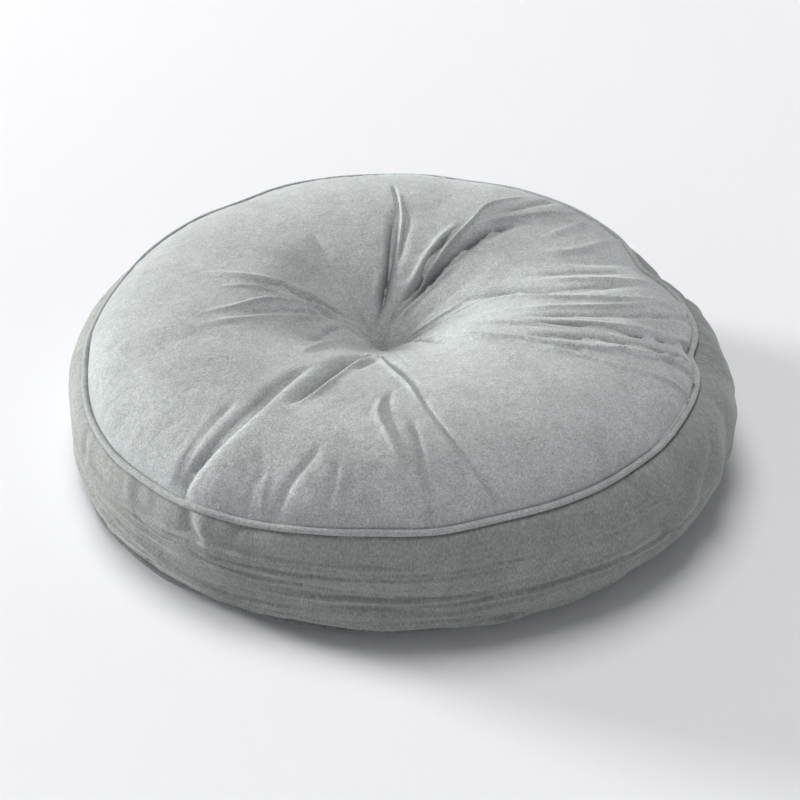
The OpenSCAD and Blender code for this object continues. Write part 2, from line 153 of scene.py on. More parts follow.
# ---------------------------------------------------------------- folds of the top
# height in mm (a valley's is below 0), its width in mm on the side of smaller azimuths and on the other,
# and its path: mm from the tuft, azimuth, again and again
FOLDS = [
    # the back: one deep valley with a pleat beside it
    (-8.0, 5.5, 5.0, [(18, 104), (50, 91), (75, 88), (110, 87.7), (150, 87.5), (170, 87)]),
    (-3.0, 4.0, 1.6, [(85, 82), (120, 82.6), (150, 83), (168, 83.5)]),
    (1.3, 2.0, 2.0, [(105, 84), (150, 84.8), (180, 86.3), (215, 88.3)]),
    (-3.0, 1.2, 1.8, [(140, 85.6), (180, 87), (225, 89.3)]),
    (1.8, 3.0, 4.0, [(40, 106), (55, 99), (75, 92.5), (100, 90.5), (155, 89.6)]),
    # the back right: a deep valley and a narrow crease with a ridge between them
    (-7.5, 6.5, 6.0, [(22, 84), (45, 69), (75, 60.5), (105, 58), (150, 56), (190, 52), (215, 49)]),
    (3.4, 2.4, 2.2, [(60, 68), (90, 63), (125, 62.3), (160, 61.7), (200, 62.3), (245, 58.5)]),
    (-5.5, 1.5, 2.0, [(45, 74), (70, 66), (100, 66.4), (125, 65.4), (158, 63.6)]),
    (2.0, 3.0, 4.0, [(50, 75), (75, 69.6), (100, 68.5), (130, 67), (160, 65.4)]),
    (3.0, 2.4, 2.6, [(160, 61), (185, 56), (205, 52.5), (230, 49.5), (255, 47.5), (275, 48)]),
    (-3.0, 3.0, 3.4, [(190, 59), (225, 55.3), (250, 54), (275, 54)]),
    (2.4, 3.0, 3.0, [(28, 76), (40, 68), (60, 60), (75, 56.5), (95, 54), (120, 53)]),
    # the right: ripples that run out to the piping
    (1.2, 4.0, 4.0, [(190, 41), (225, 42), (250, 43), (280, 45)]),
    (1.2, 4.5, 5.0, [(170, 36), (205, 32.5), (240, 33), (280, 37)]),
    (-1.4, 4.0, 4.0, [(190, 28), (215, 25), (250, 25), (280, 28)]),
    (1.7, 3.5, 2.6, [(140, 20), (175, 16), (205, 15), (240, 15), (275, 17)]),
    (-2.0, 4.5, 4.5, [(150, 23), (180, 20.5), (215, 19), (250, 19)]),
    (2.2, 3.6, 3.0, [(80, 25), (110, 13), (140, 4.5), (165, 2.5), (200, 2.5), (230, 4), (284, 11)]),
    (-3.4, 5.0, 6.5, [(75, 30), (100, 20), (125, 14.5), (155, 9), (190, 9), (220, 11.5), (260, 15)]),
    (1.8, 4.5, 5.0, [(110, 354), (150, 354.5), (195, 357), (225, 0.5), (250, 4.5), (280, 9)]),
    (-2.8, 3.0, 4.0, [(120, 346), (150, 348), (200, 352), (225, 355), (250, 359), (280, 5)]),
    (-5.6, 4.6, 3.8, [(118, 341.2), (150, 342), (200, 344), (240, 346.6), (262, 350.2), (286, 356)]),
    (2.4, 3.5, 3.0, [(60, 347), (85, 341), (110, 339.2), (140, 340.2), (180, 342), (230, 344.6)]),
    (1.8, 3.0, 3.2, [(125, 342.6), (175, 344.8), (225, 348), (250, 350.6), (284, 358)]),
    (-3.8, 4.0, 4.0, [(132, 330.5), (165, 334.5), (200, 338.4), (225, 340.4), (250, 342.5), (280, 348)]),
    (3.0, 2.8, 2.2, [
        (14, 8), (30, 352), (50, 340), (75, 329), (105, 325.5), (140, 327.8), (190, 331.6), (284, 344)]),
    (-4.5, 5.0, 3.0, [(12, 357), (24, 350), (40, 335), (58, 321), (80, 318)]),
    (1.8, 1.8, 1.8, [(140, 326.5), (170, 326.8), (200, 328.6), (250, 332), (284, 338)]),
    (-1.8, 1.4, 1.4, [(180, 331), (205, 329.6), (228, 330.6)]),
    (1.8, 1.8, 1.8, [(205, 335), (245, 337.2), (262, 341), (286, 350)]),
    # the front: a lobe whose lip hides the tuft's front, between two long creases
    (1.8, 2.2, 2.0, [(75, 267), (100, 270), (120, 273), (140, 276), (185, 279.5)]),
    (-3.2, 2.4, 3.4, [(55, 268), (80, 271.5), (110, 275.6), (135, 278), (155, 279)]),
    (-2.4, 1.6, 1.5, [(140, 277.6), (175, 279.6), (225, 282.6), (270, 286), (286, 288)]),
    (-2.8, 2.8, 2.4, [(195, 275.4), (235, 276), (260, 276), (284, 277)]),
    (-1.6, 3.0, 3.0, [(150, 272), (175, 270), (205, 271), (245, 274)]),
    (1.6, 2.4, 2.4, [(160, 269), (190, 267.5), (225, 270.5), (250, 272)]),
    (-1.6, 4.0, 3.6, [(228, 256.5), (250, 254.5), (265, 252.5), (284, 251)]),
    (-1.4, 2.0, 2.0, [(240, 260), (262, 260), (284, 259)]),
    # the front left: the main crease, its lip, and a valley beside it
    (-10.0, 8.0, 2.4, [(52, 268), (62, 261), (80, 256), (100, 252.4), (130, 250), (160, 247.5), (190, 244)]),
    (2.2, 1.6, 4.0, [
        (62, 267), (75, 262), (86, 257.8), (102, 253.9), (130, 251.3), (160, 249.4), (190, 245.4)]),
    (-2.0, 3.5, 3.0, [(82, 266), (98, 260.4), (116, 257)]),
    (-4.8, 4.5, 4.0, [(120, 239.6), (150, 237.8), (200, 237.4), (225, 236.6), (255, 235), (284, 232.6)]),
    (-1.5, 2.5, 2.5, [(195, 231), (240, 231.5), (280, 231)]),
    # the left: three soft folds that sweep round into the tuft
    (2.2, 4.0, 4.5, [(34, 128), (60, 149), (80, 153.5), (100, 157), (125, 160.5), (180, 163)]),
    (-3.0, 5.0, 4.2, [(30, 130), (45, 146), (60, 155), (80, 159), (100, 162), (124, 165.4)]),
    (2.2, 3.0, 3.4, [
        (24, 130), (35, 143), (60, 161), (75, 168), (95, 174), (115, 179), (135, 184.5), (172, 188)]),
    (1.6, 2.0, 2.0, [(80, 168), (108, 168), (130, 169), (158, 172.6)]),
    (-2.3, 4.8, 4.4, [(30, 145), (45, 160), (60, 172), (75, 179), (95, 184), (120, 188), (152, 191)]),
    (1.7, 3.4, 4.4, [(28, 150), (40, 162), (55, 175), (66, 182), (82, 189), (105, 192), (180, 194.5)]),
    (-2.4, 5.5, 5.5, [(28, 162), (38, 177), (50, 195), (65, 209), (90, 217)]),
    (1.4, 5.0, 6.0, [(30, 185), (50, 213), (75, 222), (112, 228)]),
    (-1.6, 6.0, 6.0, [(60, 124), (100, 121), (150, 118)]),
]
FOLD_DEPTH = 1.4  # what the table's heights are multiplied by
TIP_WIDTH = 0.45  # a fold's width at the tuft, as a share of its full width
FULL_WIDTH_AT = 60 * MM
RIDGE_SHARPNESS, VALLEY_SHARPNESS = 1.8, 1.35
GATHER_TO_MM = 290
RIM_MM = 284


def curve(xs, ys, x):
    """A smooth curve through a few points, with x held to their span."""
    slopes = np.gradient(ys, xs)
    x = np.clip(x, xs[0], xs[-1])
    i = np.clip(np.searchsorted(xs, x, side="right") - 1, 0, len(xs) - 2)
    span = xs[i + 1] - xs[i]
    t = (x - xs[i]) / span
    rise = ys[i] * (2 * t**3 - 3 * t**2 + 1) + ys[i + 1] * (3 * t**2 - 2 * t**3)
    return rise + span * (slopes[i] * (t**3 - 2 * t**2 + t) + slopes[i + 1] * (t**3 - t**2))


def one_fold(height, before, after, path, r, azimuth):
    """How far one fold lifts each point: a bell across its path, which fades in and out along it."""
    height, before, after = height * MM, before * MM, after * MM
    xs, ys = np.array(path, float).T
    ys = ys[0] + np.cumsum(np.append(0, turned(ys[:-1], ys[1:])))
    xs = xs * MM
    away = np.radians(turned(curve(xs, ys, r), azimuth)) * r
    grown = TIP_WIDTH + (1 - TIP_WIDTH) * smooth(0, FULL_WIDTH_AT, r)
    w = np.where(away < 0, before, after) * grown
    length = xs[-1] - xs[0]
    reach = smooth(xs[0] - 0.02 * length, xs[0] + 0.3 * length, r)
    if xs[-1] < RIM_R - 6 * MM:
        reach = reach * (1 - smooth(xs[-1] - 0.3 * length, xs[-1] + 0.04 * length, r))
    sharpness = RIDGE_SHARPNESS if height > 0 else VALLEY_SHARPNESS
    return height * reach * np.exp(-np.abs(away / w) ** sharpness)


RIGHT_CREASE_ENDS = 354  # the azimuth where the deep crease on the right meets the piping


def scattered_folds(r, azimuth):
    """Small gathers that run out from the tuft, and others that run in from the piping."""
    rng = np.random.default_rng(11)
    total = np.zeros_like(r)
    for _ in range(60):
        a, end = rng.uniform(0, 360), rng.uniform(35, 130)
        height, width = rng.uniform(-1.2, 1.2), rng.uniform(1.8, 4.0)
        start, bend = rng.uniform(2, 10), rng.uniform(-7, 7)
        path = [(start, a), ((start + end) / 2, a + bend), (end, a + bend / 2)]
        total += one_fold(height, width, width, path, r, azimuth)
    for _ in range(150):
        a = rng.uniform(0, 360)
        right = smooth(65, 35, abs(turned(335, a)))
        start = RIM_MM - rng.uniform(14, 40 + 25 * right)
        height, width = rng.uniform(-1, 1) * (0.7 + 0.7 * right), rng.uniform(1.5, 3.8)
        height *= smooth(7, 12, abs(turned(RIGHT_CREASE_ENDS, a)))
        lean = rng.uniform(-2, 2) + 5.5 * right
        path = [(start, a - lean), ((start + GATHER_TO_MM) / 2, a - lean * 0.6), (GATHER_TO_MM, a)]
        total += one_fold(height, width, width * rng.uniform(0.5, 1.2), path, r, azimuth)
    return total


SHALLOWEST_SHADED = -2  # in mm: a shallower valley gets no painted shade
FULL_SHADE_AT = 6 * MM
SHADE_WIDTH = 0.75  # as a share of the valley's width


def creases(r, azimuth):
    """Painted shade at each point, from 0 to 1: most at the bottom of a deep valley and round the tuft."""
    most = 0.95 * np.exp(-((r / (2 * NECK_R)) ** 2))
    for height, before, after, path in FOLDS:
        if height < SHALLOWEST_SHADED:
            valley = one_fold(height, SHADE_WIDTH * before, SHADE_WIDTH * after, path, r, azimuth)
            most = np.maximum(most, (valley / FULL_SHADE_AT) ** 2)
    return np.clip(most, 0, 1)


def folds(r, azimuth):
    """How far all the folds of the top lift each point."""
    total = scattered_folds(r, azimuth)
    for height, before, after, path in FOLDS:
        total += one_fold(FOLD_DEPTH * height, before, after, path, r, azimuth)
    return total


# ---------------------------------------------------------------- cloth simulation
SETTLING_FRAMES = 20
SETTLING_STEP = 5 * MM
SETTLING_LIMIT = 2.2 * MM
STEEPEST_SETTLED = 2.5 * MM
SEWN_BEYOND, SEWN_WITHIN = 0.955, 0.035  # shares of the way out: the piping and the tuft


def settle(points, held):
    """How far each point of a square net of cloth moves when the stuffing presses it outwards.

    held is true where the cloth is sewn down. No point moves further than SETTLING_LIMIT."""
    rows, columns = points.shape[:2]
    mesh = bpy.data.meshes.new("settling")
    mesh.from_pydata([tuple(p) for p in points.reshape(-1, 3)], [], grid_faces(rows, columns, False))
    cloth = bpy.data.objects.new("settling", mesh)
    bpy.context.scene.collection.objects.link(cloth)
    group = cloth.vertex_groups.new(name="held")
    group.add([int(i) for i in np.flatnonzero(held.ravel())], 1.0, "REPLACE")
    modifier = cloth.modifiers.new("settling", "CLOTH")
    settings = modifier.settings
    settings.quality = 6
    settings.mass = 0.3
    settings.tension_stiffness = settings.compression_stiffness = 12
    settings.shear_stiffness = 6
    settings.bending_stiffness = 0.6
    settings.vertex_group_mass = "held"
    settings.use_pressure = True
    settings.uniform_pressure_force = 4
    settings.effector_weights.gravity = 0
    settings.shrink_min = -0.012
    modifier.collision_settings.use_collision = False
    modifier.point_cache.frame_start, modifier.point_cache.frame_end = 1, SETTLING_FRAMES
    for step in range(1, SETTLING_FRAMES + 1):
        bpy.context.scene.frame_set(step)
    final = cloth.evaluated_get(bpy.context.evaluated_depsgraph_get())
    moved = np.empty(len(mesh.vertices) * 3)
    final.data.vertices.foreach_get("co", moved)
    bpy.data.objects.remove(cloth)
    bpy.data.meshes.remove(mesh)
    bpy.context.scene.frame_set(1)
    moved = moved.reshape(points.shape) - points
    size = np.linalg.norm(moved, axis=-1, keepdims=True)
    return moved * (SETTLING_LIMIT * np.tanh(size / SETTLING_LIMIT) / np.maximum(size, 1e-9))


def grid_value(field, x, y):
    """A grid's value between its points, by a smooth blend of the sixteen points round each place."""
    x, y = np.clip(x, 1, field.shape[0] - 2.001), np.clip(y, 1, field.shape[1] - 2.001)
    i, j = np.floor(x).astype(int), np.floor(y).astype(int)
    total = 0.0
    for a, wx in enumerate(cubic_weights(x - i)):
        for b, wy in enumerate(cubic_weights(y - j)):
            total = total + field[i + a - 1, j + b - 1] * (wx * wy)[..., None]
    return total


def cubic_weights(t):
    """The shares of four neighbours, for a place t of the way from the second to the third."""
    middle_two = (3 * t**3 - 6 * t**2 + 4) / 6, (-3 * t**3 + 3 * t**2 + 3 * t + 1) / 6
    return (1 - t) ** 3 / 6, *middle_two, t**3 / 6


def settled_top(share, azimuth):
    """The top's cloth is simulated on a square net, sewn down at the tuft and at the piping."""
    count = 2 * int(RIM_R / SETTLING_STEP) + 5
    half = (count - 1) / 2
    step = SETTLING_STEP / RIM_R
    across = (np.arange(count) - half) * step
    u, v = np.meshgrid(across, across, indexing="ij")
    net_share = np.hypot(u, v)
    net_azimuth = np.degrees(np.arctan2(v, u)) % 360
    net = top_surface(np.minimum(net_share, 1), net_azimuth, wraps=False, steepest=STEEPEST_SETTLED)
    beyond = net_share > 1
    net[beyond] += np.stack([u, v, 0 * u], axis=-1)[beyond] * MM
    moved = settle(net, (net_share > SEWN_BEYOND) | (net_share < SEWN_WITHIN))
    a = np.radians(azimuth)
    return grid_value(moved, share * np.cos(a) / step + half, share * np.sin(a) / step + half)


# ---------------------------------------------------------------- the three faces of the cover
RIM_R = SEAM_R - PIPING_R
CROWN = 52 * MM
CROWN_SLACK = 13 * MM  # how much lower the crown is at the back
NECK, NECK_R = 10 * MM, 4.8 * MM  # the narrow hole that the stitch pulls down inside the dimple
TOP_RISE = 1.5 * MM  # the rim lies this far above the middle of the piping
DIMPLE = UPPER_Z + TOP_RISE + CROWN - STITCH_Z + 1.5 * MM - NECK
DIMPLE_R, DIMPLE_R_SLACK = 80 * MM, 16 * MM


def top_height(r, azimuth):
    """The stuffed height above the seam. The back is lower and rounds off sooner than the front."""
    share = np.minimum(r / RIM_R, 1)
    slack = smooth(110, 45, np.abs(turned(78, azimuth)))
    crown = CROWN - CROWN_SLACK * slack
    pit = DIMPLE_R - DIMPLE_R_SLACK * np.clip(np.cos(np.radians(azimuth - 118)), 0, 1)
    squareness = 5.5 - 1.5 * slack
    neck = NECK * np.exp(-((r / NECK_R) ** 2))
    dome = crown * (1 - share**squareness) ** (0.5 + 0.3 * slack)
    return dome - DIMPLE * np.exp(-((r / pit) ** 1.3)) - neck


def lowest_near(field, rows, columns):
    """The lowest value within so many rows and columns of each point. The columns close on themselves."""
    for axis, reach in ((0, rows), (1, columns)):
        stack = []
        for step in range(-reach, reach + 1):
            moved = np.roll(field, step, axis=axis)
            if axis == 0 and step:
                edge = slice(step) if step > 0 else slice(step, None)
                moved[edge] = field[edge]
            stack.append(moved)
        field = np.min(stack, axis=0)
    return field


def top_surface(share, azimuth, under=0.0, wraps=True, steepest=1.0):
    """Points of the top panel's outer face. share runs from 0 at the tuft to 1 at the rim.

    With under, they are that far below the face and every fold. No fold is higher or deeper than steepest."""
    rim = upper_seam(azimuth) - outward(azimuth) * PIPING_R
    middle = np.array([TUFT_X, 0, 0])
    points = middle * (1 - share)[..., None] + rim * share[..., None]
    r = share * RIM_R
    lift = (rim[..., 2] - UPPER_Z) * share**2
    points[..., 2] = UPPER_Z + TOP_RISE + lift + top_height(r, azimuth)
    swell = 1.6 * MM * value_noise(azimuth / 360, share, 5, 9, 3)
    swell *= smooth(0.1, 0.4, share) * (1 - smooth(0.9, 1.0, share))
    fold = np.clip(folds(r, azimuth), -steepest, steepest) * (1 - smooth(0.992, 1.0, share))
    if under:
        fold = lowest_near(np.minimum(fold, 0), 2, 3) - under
    return points + normals_of(points, wraps) * (swell + fold)[..., None]


# where the top has its finest folds: azimuth and half width in degrees
FINE_PARTS = [(345, 15), (247, 10), (60, 13), (86, 7), (280, 9)]
CROWDING = 1.3


def crowded_round(count):
    """Azimuths right round the cushion, closer together where the folds are fine."""
    azimuth = np.linspace(0, 360, 1441)
    density = 1 + sum(CROWDING * np.exp(-((turned(c, azimuth) / w) ** 2)) for c, w in FINE_PARTS)
    share = np.concatenate([[0], np.cumsum((density[1:] + density[:-1]) / 2)])
    return np.interp(np.linspace(0, share[-1], count, endpoint=False), share, azimuth)


def top_net(rows, columns, even=False):
    """The share of the way out and the azimuth of each point of the top panel's grid."""
    share = spread(rows, 0.8)
    share[0] = 0.002
    azimuth = np.linspace(0, 360, columns, endpoint=False) if even else crowded_round(columns)
    return np.meshgrid(share, azimuth, indexing="ij")


def top_face(rows, columns, under=0.0):
    """The top panel's outer face as a grid, from the tuft to where it dives beside the piping.

    With under, the grid lies that far below the face, and stops short of the rim."""
    share, azimuth = top_net(rows, columns, under > 0)
    share = share * (1 - 3 * under / SEAM_R)
    points = top_surface(share, azimuth, under)
    if under:
        return points
    points += settled_top(share, azimuth)
    seam = upper_seam(azimuth[-1])
    inward = -outward(azimuth[-1])
    dive = [(0.75, 0.25), (0.6, -0.3)]
    edge = [seam + inward * PIPING_R * back + [0, 0, PIPING_R * up] for back, up in dive]
    return np.concatenate([points, np.array(edge)])


def widest(azimuth):
    """How far out the band reaches. It stands out most on the right, and is true to the zip at the back."""
    plain = 305.5 * MM + waves(azimuth, [(1, 11 * MM, 0)])
    back = smooth(100, 62, np.abs(turned(90, azimuth)))
    return plain * (1 - back) + WIDEST_R * back


def band_creases(azimuth, across):
    """Long creases along the front and left of the band, and puckers where its edges are gathered.

    across runs from 0 at the upper seam to 1 at the lower one."""
    around = azimuth / 360
    rng = np.random.default_rng(23)
    total = np.zeros_like(azimuth)
    for _ in range(95):
        a, s = rng.uniform(190, 305), rng.uniform(0.25, 0.98)
        length, width = rng.uniform(8, 34), rng.uniform(0.012, 0.035)
        tilt, bend = rng.uniform(-0.06, 0.06), rng.uniform(-0.05, 0.05)
        height = rng.uniform(0.8, 2.8) * MM
        sign = (-1, 1)[rng.integers(2)]
        along = turned(a, azimuth) / length
        away = (across - s - tilt * along - bend * along**2) / width
        total += sign * height * np.exp(-(along**2) - np.abs(away * np.where(away < 0, 1.4, 0.8)) ** 1.7)
    for seam_across, seed in ((0.0, 31), (1.0, 37)):
        away = np.abs(across - seam_across)
        pucker = value_noise(around, across, seed, 150, 2)
        pucker += 0.6 * value_noise(around, across, seed + 1, 70, 2)
        total += 1.1 * MM * pucker * np.exp(-away / 0.16)
    scallop = value_noise(around, across, 47, 48, 1) * smooth(80, 40, np.abs(turned(255, azimuth)))
    total += 3.4 * MM * scallop * np.exp(-(((1 - across) / 0.13) ** 2))
    right = smooth(85, 45, np.abs(turned(335, azimuth)))
    ripple = value_noise(around, across, 41, 60, 2) + 0.5 * value_noise(around, across, 42, 130, 4)
    total += 2.3 * MM * ripple * right * np.sin(math.pi * np.clip(across, 0, 1)) ** 0.5
    total += 1.6 * MM * value_noise(around, across, 43, 18, 3)
    for a, s, height, width, lean in BAND_TUCKS:
        away = (turned(a, azimuth) - lean * (across - s)) / width
        total += height * MM * np.exp(-(away**2) - ((across - s) / 0.3) ** 2)
    return total


# tucks across the band: azimuth, how far down, height in mm, half width in degrees, lean in degrees
BAND_TUCKS = [
    (20, 0.35, -5.0, 1.6, 6), (17.5, 0.35, 2.0, 1.6, 6), (27, 0.1, -3.5, 1.8, 8),
    (238, 0.1, 2.6, 1.6, 8), (235.5, 0.12, -2.6, 1.4, 8), (244, 0.12, -2.0, 1.2, -6),
    (221, 0.12, 1.8, 1.6, 8), (206, 0.15, 2.0, 2.0, 6), (203, 0.15, -2.2, 1.6, 6),
    (318, 0.55, -2.8, 1.0, 10), (321, 0.55, 1.8, 1.4, 10), (333, 0.3, -1.8, 1.2, -12),
]


def band_edges(azimuth):
    """The heights where the band starts, beside the upper piping, and ends, beside the lower one."""
    return upper_seam(azimuth)[..., 2] - TUCK, lower_seam(azimuth)[..., 2] + TUCK


def share_down(azimuth, height):
    """How far across the band a height is, at each azimuth."""
    top, base = band_edges(azimuth)
    return (top - height) / (top - base)


CREASE_ROOM = 1.5 * MM  # what is inside the band keeps this much further in, clear of its creases


def band_face(azimuth, across, under=0.0):
    """Points of the band's outer face for grids of azimuth and of across, 0 at the top to 1 at the bottom.

    With under, they are that far inside it and clear of its creases."""
    top, base = band_edges(azimuth)
    z = top * (1 - across) + base * across
    r_top, r_base = (np.hypot(*seam(azimuth).T[:2]).T for seam in (upper_seam, lower_seam))
    above = np.clip((z - MIDDLE_Z) / (top - MIDDLE_Z), 0, 1)
    below = np.clip((MIDDLE_Z - z) / (MIDDLE_Z - base), 0, 1)
    back = smooth(100, 62, np.abs(turned(90, azimuth)))
    upper_shape = (1 - above**2.2) ** 0.62
    lower_shape = (1 - below ** (4.5 - 2.0 * back)) ** (0.45 + 0.1 * back)
    reach = widest(azimuth)
    r = np.where(above > 0, r_top + (reach - r_top) * upper_shape, r_base + (reach - r_base) * lower_shape)
    points = around_point(r, azimuth, z)
    if under:
        return points - outward(azimuth) * (under + CREASE_ROOM)
    quiet = smooth(ZIP_START - 6, ZIP_START, azimuth) * (1 - smooth(ZIP_END, ZIP_END + 6, azimuth))
    calm = 1 - quiet * (1 - smooth(8 * MM, 30 * MM, np.abs(z - MIDDLE_Z)))
    held = smooth(0, 0.02, across) * smooth(0, 0.02, 1 - across)
    return points + outward(azimuth) * (band_creases(azimuth, across) * calm * held)[..., None]


def spread(count, ends=0.5):
    """Numbers from 0 to 1, closer together at both ends."""
    t = np.linspace(0, 1, count)
    return ends * t + (1 - ends) * (1 - np.cos(math.pi * t)) / 2


def side_face(rows, columns):
    """The plain part of the band, between the two ends of the zip band."""
    round_it = np.linspace(ZIP_END, ZIP_START + 360, columns)
    across, azimuth = np.meshgrid(spread(rows), round_it, indexing="ij")
    return band_face(azimuth, across)


def strip_face(rows, columns, upper):
    """Half of the zip band, from its seam to the folded edge beside the zip."""
    azimuth = np.linspace(ZIP_START, ZIP_END, columns)
    fold_at = share_down(azimuth, MIDDLE_Z + (CHANNEL_HALF if upper else -CHANNEL_HALF))
    start, end = (np.zeros(columns), fold_at) if upper else (fold_at, np.ones(columns))
    t = spread(rows, 0.7)[:, None]
    across = start * (1 - t) + end * t
    return band_face(np.broadcast_to(azimuth, across.shape), across)


BASE_DIMPLE_R = 100 * MM
BASE_FLAT_R = SEAM_R - 25 * MM


def base_face(rows, columns, under=0.0):
    """The bottom panel's outer face, from the middle to where it dives beside the lower piping.

    With under, the grid is that far above the face instead, and stops short of the rim."""
    round_it = np.linspace(0, 360, columns, endpoint=False)
    share, azimuth = np.meshgrid(spread(rows, 0.4), round_it, indexing="ij")
    share = np.maximum(share, 0.004) * (1 - under / SEAM_R)
    inward = -outward(azimuth)
    seam = lower_seam(azimuth)
    rim = seam + inward * PIPING_R
    points = rim * share[..., None]
    r = share * RIM_R
    dimple = KNOT_TOP_Z * 1.12 * np.maximum(1 - r / BASE_DIMPLE_R, 0) ** 2.2
    roll = rim[..., 2] * (1 - np.sqrt(1 - np.clip((r - BASE_FLAT_R) / (RIM_R - BASE_FLAT_R), 0, 1) ** 2))
    gathers = np.abs(base_gathers(r, azimuth))
    points[..., 2] = np.maximum(dimple + roll, 0) + gathers
    if under:
        points[..., 2] += under
        return points
    dive = [(-0.75, -0.25), (-0.6, 0.3)]
    edge = [seam[-1] - inward[-1] * PIPING_R * out + [0, 0, PIPING_R * up] for out, up in dive]
    return np.concatenate([points, np.array(edge)])


def base_gathers(r, azimuth):
    """Soft radial gathers on the underside. They only ever lift the cloth off the floor."""
    rng = np.random.default_rng(71)
    total = np.zeros_like(r)
    for _ in range(44):
        a, bend, end = rng.uniform(0, 360), rng.uniform(-5, 5), rng.uniform(50, 190)
        height, width = rng.uniform(0.5, 2.2), rng.uniform(2, 6)
        total += one_fold(height, width, width, [(4, a), (end / 2, a + bend), (end, a)], r, azimuth)
    for _ in range(80):
        a, start = rng.uniform(0, 360), RIM_MM - rng.uniform(15, 45)
        height, width = rng.uniform(0.3, 1.2), rng.uniform(2, 5)
        path = [(start, a), (GATHER_TO_MM - 3, a + 1), (GATHER_TO_MM, a + 1)]
        total += one_fold(height, width, width, path, r, azimuth)
    return total * smooth(0, 12 * MM, r)


# ---------------------------------------------------------------- meshes
def make_object(name, vertices, faces, material):
    mesh = bpy.data.meshes.new(name)
    mesh.from_pydata([tuple(v) for v in vertices], [], faces)
    mesh.update()
    mesh.polygons.foreach_set("use_smooth", [True] * len(mesh.polygons))
    mesh.materials.append(material)
    thing = bpy.data.objects.new(name, mesh)
    bpy.context.scene.collection.objects.link(thing)
    return thing


def grid_faces(rows, columns, wraps, offset=0, flip=False):
    """The four-sided faces of a grid of points whose columns close on themselves, or don't."""
    last = columns if wraps else columns - 1
    faces = []
    for i in range(rows - 1):
        for j in range(last):
            k = (j + 1) % columns
            quad = (offset + i * columns + j, offset + (i + 1) * columns + j,
                    offset + (i + 1) * columns + k, offset + i * columns + k)
            faces.append(quad[::-1] if flip else quad)
    return faces


def cloth_piece(name, face, inner, wraps, material, closed_middle=False):
    """A closed shell of cloth: an outer face and a coarser inner face, joined along their edges.

    Both are grids of points. inner has a whole share of face's columns, and starts and ends where it does."""
    rows, columns = face.shape[:2]
    in_rows, in_columns = inner.shape[:2]
    vertices = np.concatenate([face.reshape(-1, 3), inner.reshape(-1, 3)])
    start = rows * columns
    faces = grid_faces(rows, columns, wraps) + grid_faces(in_rows, in_columns, wraps, start, True)
    step = columns // in_columns if wraps else (columns - 1) // (in_columns - 1)
    edges = [(rows - 1, in_rows - 1, False)]
    if not closed_middle:
        edges.append((0, 0, True))
    for row, in_row, flip in edges:
        for j in range(in_columns if wraps else in_columns - 1):
            first = row * columns + j * step
            a = start + in_row * in_columns + j
            b = start + in_row * in_columns + (j + 1) % in_columns
            outer = [row * columns + (j * step + k) % columns for k in range(step + 1)]
            fan = [(outer[k], a, outer[k + 1]) for k in range(step)] + [(outer[step], a, b)]
            faces += [f[::-1] for f in fan] if flip else fan
    if closed_middle:
        faces.append(tuple(range(columns)))
        faces.append(tuple(range(start + in_columns - 1, start - 1, -1)))
    if not wraps:
        for column, in_column, flip in ((0, 0, True), (columns - 1, in_columns - 1, False)):
            outer = [i * columns + column for i in range(rows)]
            back = [start + i * in_columns + in_column for i in range(in_rows)]
            end = tuple(outer + back[::-1])
            faces.append(end[::-1] if flip else end)
    return make_object(name, vertices, faces, material)


def lined(face, thickness, row_step, column_step, wraps=True):
    """The inner face of a cloth whose outer face is given: fewer points, set in by the thickness."""
    columns = slice(None, None, column_step)
    rows = list(range(0, face.shape[0] - 1, row_step)) + [face.shape[0] - 1]
    return (face - normals_of(face, wraps) * thickness)[rows][:, columns]


def tube(name, path, radius, sides, material, closed=True):
    """A round tube along a path of points; radius may differ from point to point."""
    count = len(path)
    ahead = np.roll(path, -1, axis=0) if closed else np.vstack([path[1:], 2 * path[-1] - path[-2]])
    behind = np.roll(path, 1, axis=0) if closed else np.vstack([2 * path[0] - path[1], path[:-1]])
    along = ahead - behind
    along /= np.linalg.norm(along, axis=1, keepdims=True)
    side = np.cross(along, [0, 0, 1])
    side /= np.maximum(np.linalg.norm(side, axis=1, keepdims=True), 1e-9)
    up = np.cross(side, along)
    turn = np.linspace(0, 2 * math.pi, sides, endpoint=False)
    radius = np.broadcast_to(radius, (count, sides))
    ring = side[:, None] * np.cos(turn)[None, :, None] + up[:, None] * np.sin(turn)[None, :, None]
    points = path[:, None] + ring * radius[..., None]
    faces = grid_faces(count, sides, True)
    last = (count - 1) * sides
    if closed:
        faces += [(last + j, j, (j + 1) % sides, last + (j + 1) % sides) for j in range(sides)]
    else:
        faces += [tuple(range(sides)), tuple(range(last, last + sides))[::-1]]
    return make_object(name, points.reshape(-1, 3), faces, material)


# ---------------------------------------------------------------- materials
def new_material(name):
    """A new material, its node tree and its shader."""
    material = bpy.data.materials.new(name)
    material.use_nodes = True
    return material, material.node_tree, material.node_tree.nodes["Principled BSDF"]


def set_inputs(tree, node, inputs):
    """Links each input of a node to another node's output, or sets it to a plain value."""
    for name, value in inputs.items():
        if isinstance(value, bpy.types.NodeSocket):
            tree.links.new(value, node.inputs[name])
        else:
            node.inputs[name].default_value = value


def add_node(tree, kind, inputs, **settings):
    node = tree.nodes.new("ShaderNode" + kind)
    for name, value in settings.items():
        setattr(node, name, value)
    set_inputs(tree, node, inputs)
    return node


def noise(tree, place, scale, detail=3.0, roughness=0.5, distortion=0.0):
    values = {"Scale": scale, "Detail": detail, "Roughness": roughness, "Distortion": distortion}
    return add_node(tree, "TexNoise", {"Vector": place, **values}).outputs["Fac"]


